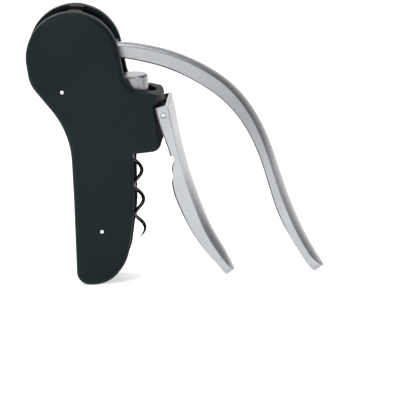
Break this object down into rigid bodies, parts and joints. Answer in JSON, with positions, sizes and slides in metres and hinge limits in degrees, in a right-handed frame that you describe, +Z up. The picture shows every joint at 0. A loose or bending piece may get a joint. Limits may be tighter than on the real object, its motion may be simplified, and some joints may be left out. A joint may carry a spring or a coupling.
{
  "type": "lever corkscrew",
  "caption": "Lever corkscrew with a black moulded body, a long curved lever that raises a coiled worm through rack and gear, and a squeeze trigger that grips the bottle neck.",
  "frame": {"origin": "on the floor plane under the middle of the whole object's box, with the handle at rest", "axes": "+Z up along the worm, +X from the leg towards the trigger and lever, +Y across the body to its right half"},
  "size_m": [0.1936, 0.046, 0.189],
  "materials": {
    "shell": "soft-touch moulded plastic",
    "nylon": "moulded nylon",
    "hinge_black": "plain moulded plastic",
    "satin_alloy": "satin plated zinc alloy casting",
    "cap_alloy": "turned and brushed top, bright bevel",
    "steel": "stamped steel, tumbled",
    "pin_steel": "ground steel pin",
    "bronze": "sintered bronze bearing",
    "worm_coating": "smooth black non-stick coating on steel wire",
    "liner_rubber": "matt rubber"
  },
  "bodies": {
    "body": {"left_shell": "shell", "right_shell": "shell", "left_guide_pad": "nylon", "right_guide_pad": "nylon", "left_frame_plate": "steel", "right_frame_plate": "steel", "rear_shell_pins": "pin_steel", "foot_cross_pin": "pin_steel", "lever_axle": "pin_steel", "left_axle_washer": "nylon", "right_axle_washer": "nylon", "worm_nut": "nylon", "nut_housing": "nylon", "nut_guide_pins": "pin_steel", "neck_stop_plate": "steel", "neck_liner": "liner_rubber", "hinge_block": "hinge_black", "trigger_pin": "pin_steel", "trigger_spring": "pin_steel"},
    "lever": {"lever_arm": "satin_alloy", "lever_hub_bush": "bronze", "left_lever_gear": "steel", "right_lever_gear": "steel", "gear_rivets": "pin_steel"},
    "carriage": {"left_rack": "steel", "right_rack": "steel", "carriage_cap": "cap_alloy", "carriage_block": "nylon", "rack_dowels": "pin_steel", "thrust_washer": "bronze"},
    "worm_screw": {"worm": "worm_coating", "worm_shank": "worm_coating", "worm_head": "steel", "worm_circlip": "steel"},
    "trigger": {"trigger_handle": "satin_alloy", "lip_hook": "steel"}
  },
  "joints": [
    {"name": "lever_swing", "type": "hinge", "parent": "body", "child": "lever", "pos_m": [-0.06508, 0, 0.1574], "axis": [0, -1, 0], "range_deg": [0, 140]},
    {"name": "carriage_lift", "type": "slide", "parent": "body", "child": "carriage", "axis": [0, 0, 1], "range_m": [0, 0.06055]},
    {"name": "worm_spin", "type": "hinge", "parent": "carriage", "child": "worm_screw", "pos_m": [-0.02678, 0, 0.115], "axis": [0, 0, 1], "range_deg": [0, 1076]},
    {"name": "trigger_squeeze", "type": "hinge", "parent": "body", "child": "trigger", "pos_m": [-0.00518, 0, 0.1164], "axis": [0, 1, 0], "range_deg": [0, 12], "stiffness_Nm_per_rad": 0.12, "springref_deg": -22.92}
  ],
  "couplings": [
    {"joint": "carriage_lift", "follows": "lever_swing", "m_per_rad": 0.02475},
    {"joint": "worm_spin", "follows": "lever_swing", "ratio": 7.6795}
  ]
}
